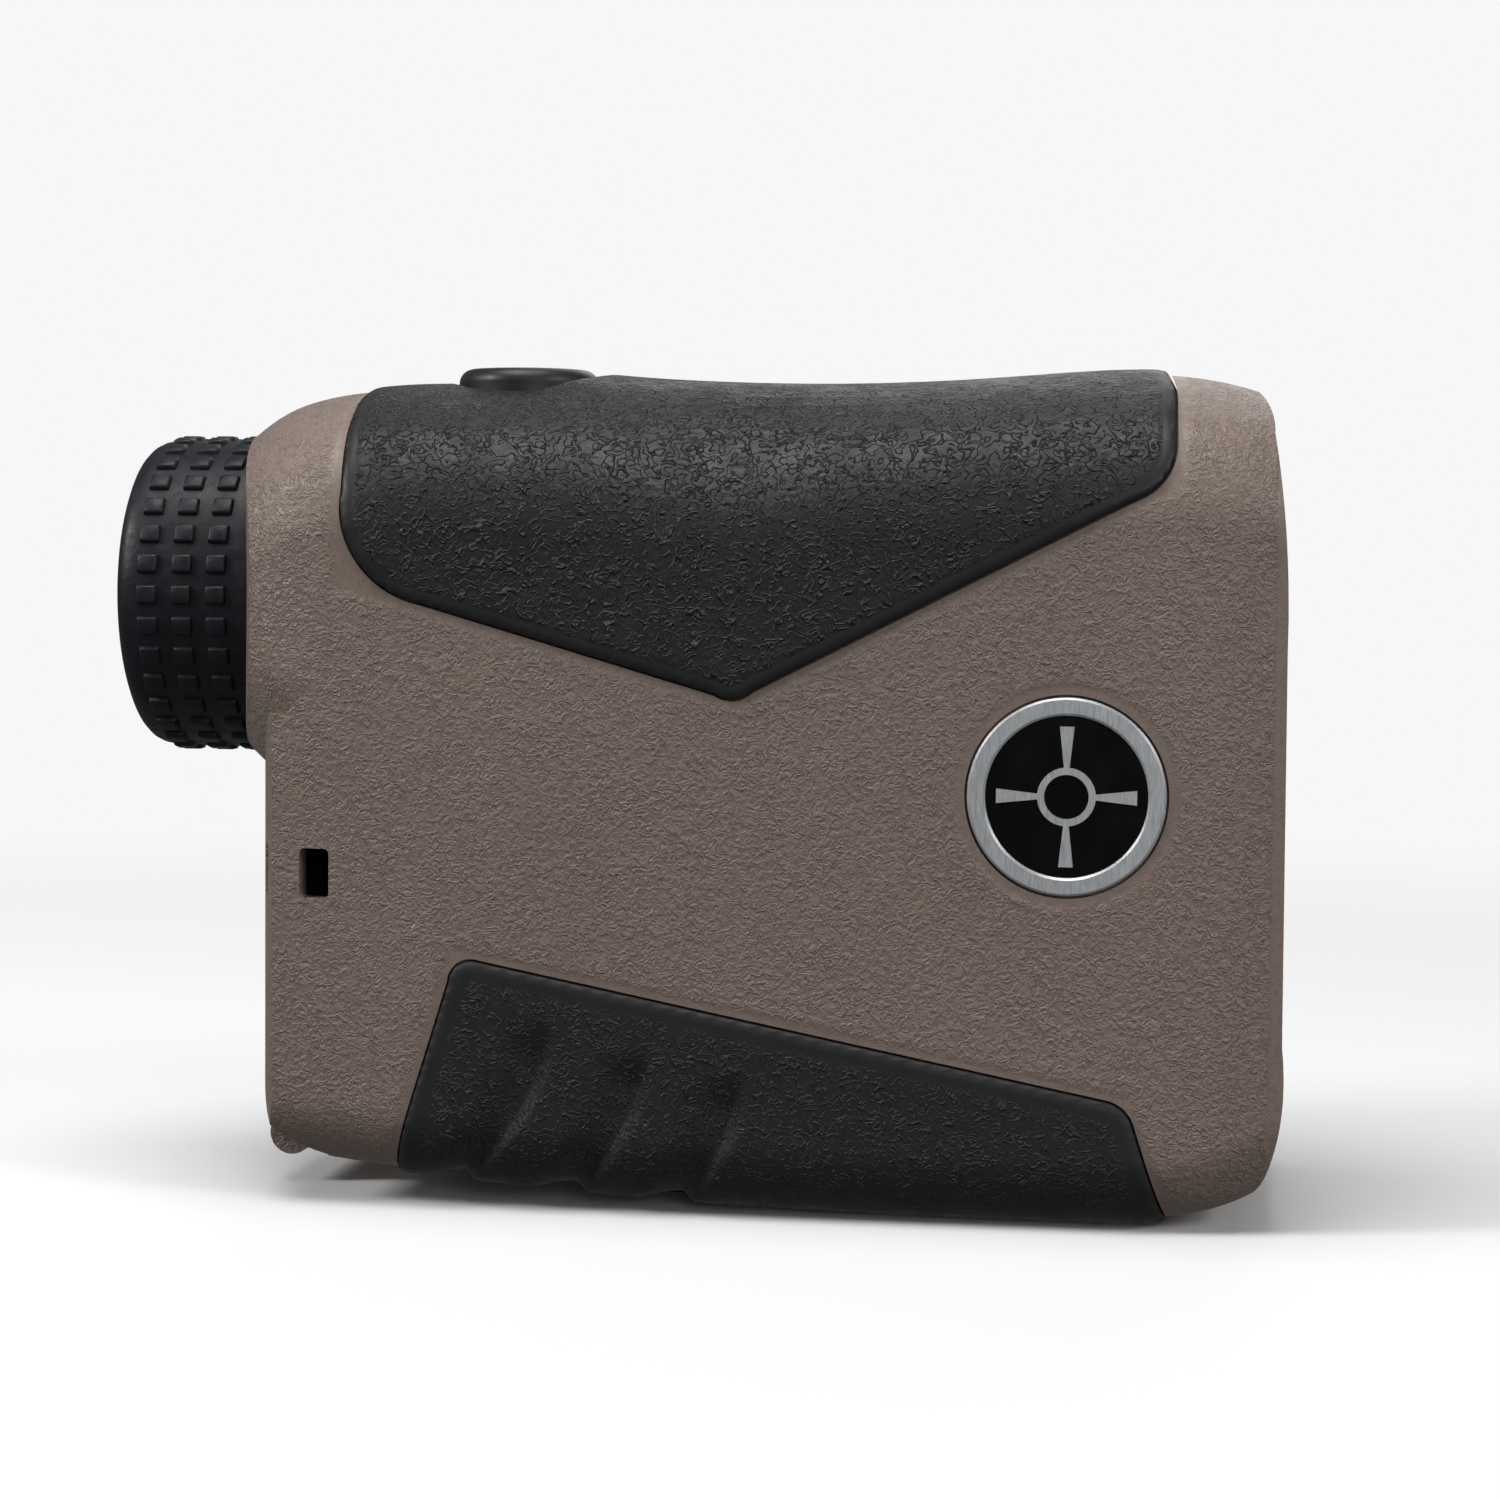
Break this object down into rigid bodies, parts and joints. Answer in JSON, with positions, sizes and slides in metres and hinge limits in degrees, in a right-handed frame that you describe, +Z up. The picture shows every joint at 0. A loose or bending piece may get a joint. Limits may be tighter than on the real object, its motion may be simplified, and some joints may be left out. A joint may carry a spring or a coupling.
{
  "type": "laser rangefinder",
  "caption": "Handheld laser rangefinder: tan casing with rubber grips, knurled focusing eyepiece, top measuring button, round side badge and a battery door at the heel.",
  "frame": {"origin": "middle of the footprint, on the surface that the sole stands on", "axes": "+X along the optical axis towards the objective, +Z up, +Y to the user's left"},
  "size_m": [0.105, 0.0408, 0.0749],
  "materials": {
    "tan_shell": "fine leather-grain moulded plastic",
    "grip_rubber": "moulded grain, matt",
    "ring_rubber": "satin",
    "black_plastic": "fine satin",
    "button_rubber": "smooth satin",
    "tan_door": "fine grain",
    "lens_glass": "coated",
    "display_glass": "polished",
    "black_aluminium": "black anodised",
    "silver_metal": "brushed",
    "badge_black": "gloss",
    "steel": "plain",
    "brass": "plain",
    "circuit": "solder mask",
    "battery_sleeve": "printed sleeve without text",
    "seal_rubber": "plain"
  },
  "bodies": {
    "casing": {"left_shell": "tan_shell", "right_shell": "tan_shell", "top_grip": "grip_rubber", "lower_grip": "grip_rubber", "front_bezel": "black_plastic", "front_gasket": "seal_rubber", "bezel_screws": "steel", "case_screws": "steel", "optics_frame": "black_plastic", "objective_cell": "black_aluminium", "objective_lens": "lens_glass", "objective_retainer": "black_aluminium", "laser_tube": "black_aluminium", "laser_lens": "lens_glass", "laser_retainer": "black_aluminium", "laser_diode": "steel", "laser_board": "circuit", "prism_holder": "black_plastic", "half_penta_prism": "lens_glass", "roof_prism": "lens_glass", "receiver_module": "circuit", "display_frame": "black_plastic", "display_glass": "display_glass", "eyepiece_tube": "black_aluminium", "main_board": "circuit", "button_board": "circuit", "fire_switch": "steel", "mode_switch": "steel", "hinge_pin": "steel", "battery_tube": "black_plastic", "battery": "battery_sleeve", "battery_spring": "steel", "badge_ring": "silver_metal", "badge_disc": "badge_black", "badge_emblem": "silver_metal", "tripod_insert": "brass"},
    "ring": {"diopter_carrier": "black_plastic", "diopter_ring": "ring_rubber", "eyecup": "ring_rubber"},
    "ocular": {"ocular_cell": "black_aluminium", "eye_lens": "lens_glass", "ocular_retainer": "black_aluminium", "field_lens": "lens_glass"},
    "fire": {"fire_button": "button_rubber"},
    "mode": {"mode_button": "button_rubber"},
    "door": {"battery_door": "tan_door", "door_contact": "brass"}
  },
  "joints": [
    {"name": "diopter_turn", "type": "hinge", "parent": "casing", "child": "ring", "pos_m": [-0.045, 0, 0.0539], "axis": [1, 0, 0], "range_deg": [-110, 110]},
    {"name": "ocular_slide", "type": "slide", "parent": "casing", "child": "ocular", "axis": [1, 0, 0], "range_m": [-0.001, 0.001]},
    {"name": "fire_press", "type": "slide", "parent": "casing", "child": "fire", "axis": [0, 0, -1], "range_m": [0, 0.0007], "stiffness_N_per_m": 2500, "springref_m": -0.0003},
    {"name": "mode_press", "type": "slide", "parent": "casing", "child": "mode", "axis": [0, -1, 0], "range_m": [0, 0.0006], "stiffness_N_per_m": 2500, "springref_m": -0.0003},
    {"name": "door_hinge", "type": "hinge", "parent": "casing", "child": "door", "pos_m": [-0.0374, 0, 0.0046], "axis": [0, -1, 0], "range_deg": [0, 95]}
  ],
  "couplings": [
    {"joint": "diopter_turn", "follows": "ocular_slide", "rad_per_m": 1900}
  ]
}
